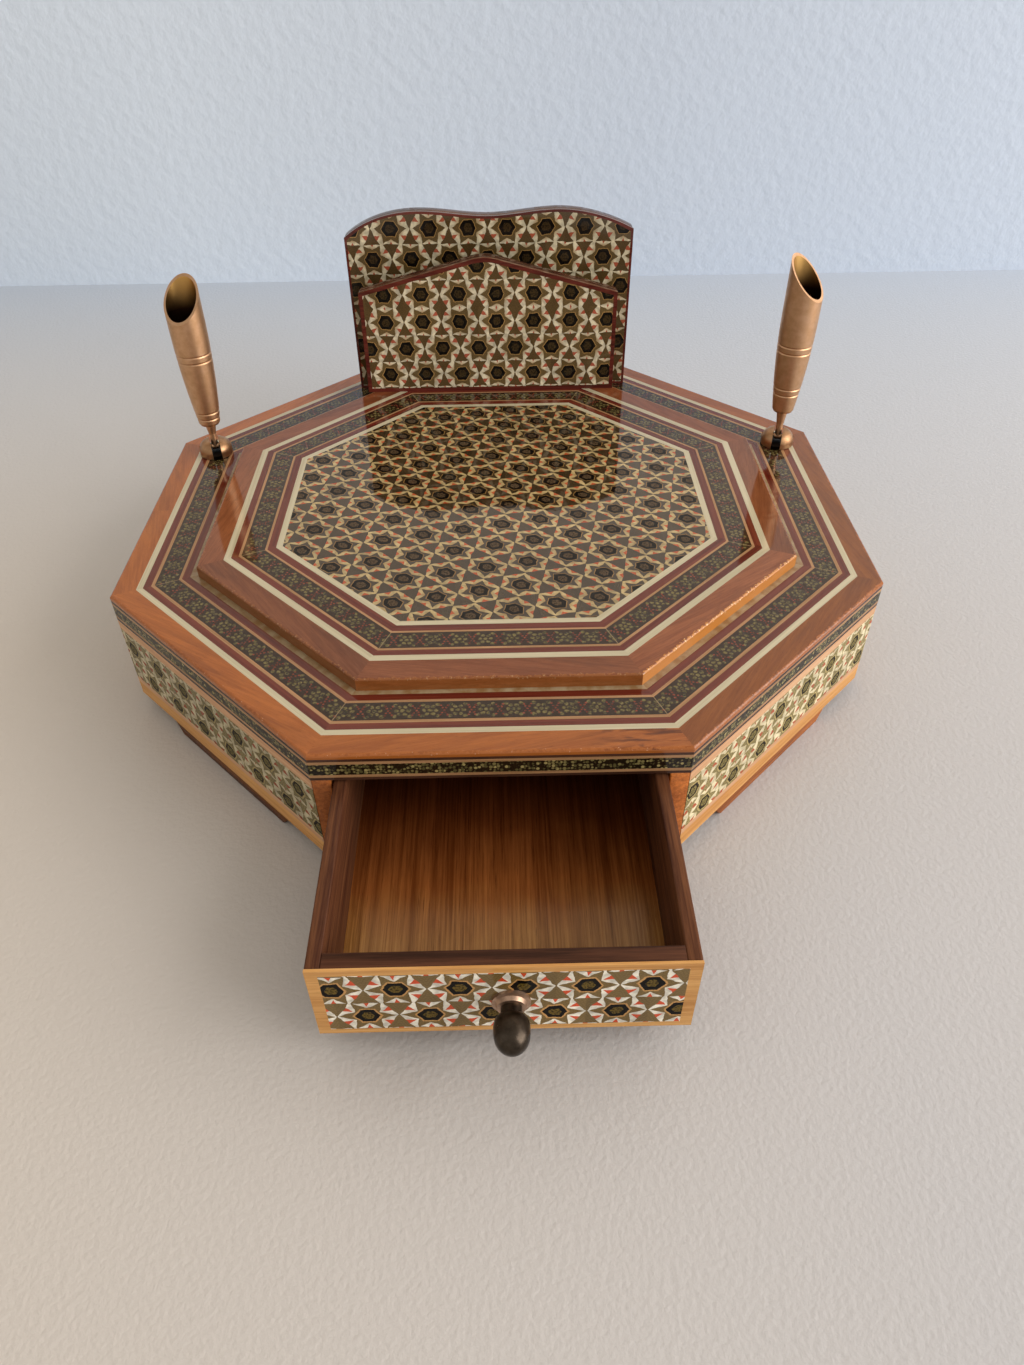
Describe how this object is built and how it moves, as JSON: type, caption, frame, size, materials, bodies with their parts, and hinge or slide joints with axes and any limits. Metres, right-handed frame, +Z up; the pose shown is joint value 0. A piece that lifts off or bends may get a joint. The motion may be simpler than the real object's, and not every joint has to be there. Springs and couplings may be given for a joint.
{
  "type": "pen stand with drawer",
  "caption": "Octagonal marquetry desk stand with a front drawer, a raised platform, a two-panel card holder and tilting pen funnels on swivel cups.",
  "frame": {"origin": "bottom centre of the whole stand on the desk, with its drawer pulled out as stored", "axes": "+Z up, +Y to the back where the card holder stands, -Y the way the drawer opens"},
  "size_m": [0.25, 0.3216, 0.1188],
  "materials": {
    "core_board": "matt",
    "lacquered_wood": "gloss lacquer",
    "cream_wood": "gloss lacquer",
    "maroon_wood": "gloss lacquer",
    "natural_wood": "gloss lacquer",
    "khatam_band": "gloss lacquer over marquetry",
    "khatam_stars": "gloss lacquer over marquetry",
    "dark_line_wood": "gloss lacquer",
    "golden_wood": "satin lacquer",
    "foot_wood": "satin lacquer",
    "drawer_wood": "satin lacquer",
    "panel_wood": "gloss lacquer",
    "funnel_brass": "satin",
    "knob_bronze": "antique",
    "steel": "bright"
  },
  "bodies": {
    "base": {"back_left_foot": "foot_wood", "back_left_wall": "core_board", "back_right_foot": "foot_wood", "back_right_wall": "core_board", "back_wall": "core_board", "bottom_board": "core_board", "drawer_stop": "core_board", "edge_dark_lines": "dark_line_wood", "edge_khatam_strips": "khatam_band", "edge_natural_lines": "natural_wood", "front_left_foot": "foot_wood", "front_left_wall": "core_board", "front_right_foot": "foot_wood", "front_right_wall": "core_board", "holder_back_border": "maroon_wood", "holder_back_panel": "panel_wood", "holder_back_veneer": "khatam_stars", "holder_front_border": "maroon_wood", "holder_front_panel": "panel_wood", "holder_front_veneer": "khatam_stars", "holder_left_side": "panel_wood", "holder_right_side": "panel_wood", "left_drawer_guide": "lacquered_wood", "left_wall": "core_board", "lower_moulding": "golden_wood", "platform_board": "core_board", "platform_border_wood": "lacquered_wood", "platform_cream_lines": "cream_wood", "platform_khatam_band": "khatam_band", "platform_khatam_field": "khatam_stars", "platform_maroon_lines": "maroon_wood", "platform_natural_lines": "natural_wood", "right_drawer_guide": "lacquered_wood", "right_wall": "core_board", "top_board": "core_board", "top_border_wood": "lacquered_wood", "top_cream_lines": "cream_wood", "top_khatam_band": "khatam_band", "top_maroon_lines": "maroon_wood", "top_natural_lines": "natural_wood", "wall_khatam_panels": "khatam_stars", "wall_light_strips": "natural_wood"},
    "drawer": {"drawer_back": "drawer_wood", "drawer_bottom": "drawer_wood", "drawer_front": "drawer_wood", "drawer_front_frame": "golden_wood", "drawer_front_khatam": "khatam_stars", "drawer_knob": "knob_bronze", "drawer_left_side": "drawer_wood", "drawer_right_side": "drawer_wood", "knob_rosette": "knob_bronze", "knob_screw": "steel"},
    "left_socket": {"left_swivel_cup": "funnel_brass", "left_cup_nut": "funnel_brass", "left_cross_pin": "funnel_brass"},
    "left_funnel": {"left_pen_funnel": "funnel_brass"},
    "right_socket": {"right_swivel_cup": "funnel_brass", "right_cup_nut": "funnel_brass", "right_cross_pin": "funnel_brass"},
    "right_funnel": {"right_pen_funnel": "funnel_brass"}
  },
  "joints": [
    {"name": "drawer_slide", "type": "slide", "parent": "base", "child": "drawer", "axis": [0, -1, 0], "range_m": [-0.058, 0.063]},
    {"name": "left_socket_swivel", "type": "hinge", "parent": "base", "child": "left_socket", "pos_m": [-0.1102, 0.07848, 0.047], "axis": [0, 0, 1], "continuous": true},
    {"name": "left_funnel_tilt", "type": "hinge", "parent": "left_socket", "child": "left_funnel", "pos_m": [-0.1102, 0.07848, 0.0503], "axis": [0.9511, 0.309, 0], "range_deg": [-43, 47]},
    {"name": "right_socket_swivel", "type": "hinge", "parent": "base", "child": "right_socket", "pos_m": [0.1114, 0.07848, 0.047], "axis": [0, 0, 1], "continuous": true},
    {"name": "right_funnel_tilt", "type": "hinge", "parent": "right_socket", "child": "right_funnel", "pos_m": [0.1114, 0.07848, 0.0503], "axis": [0.9511, -0.309, 0], "range_deg": [-43, 47]}
  ]
}
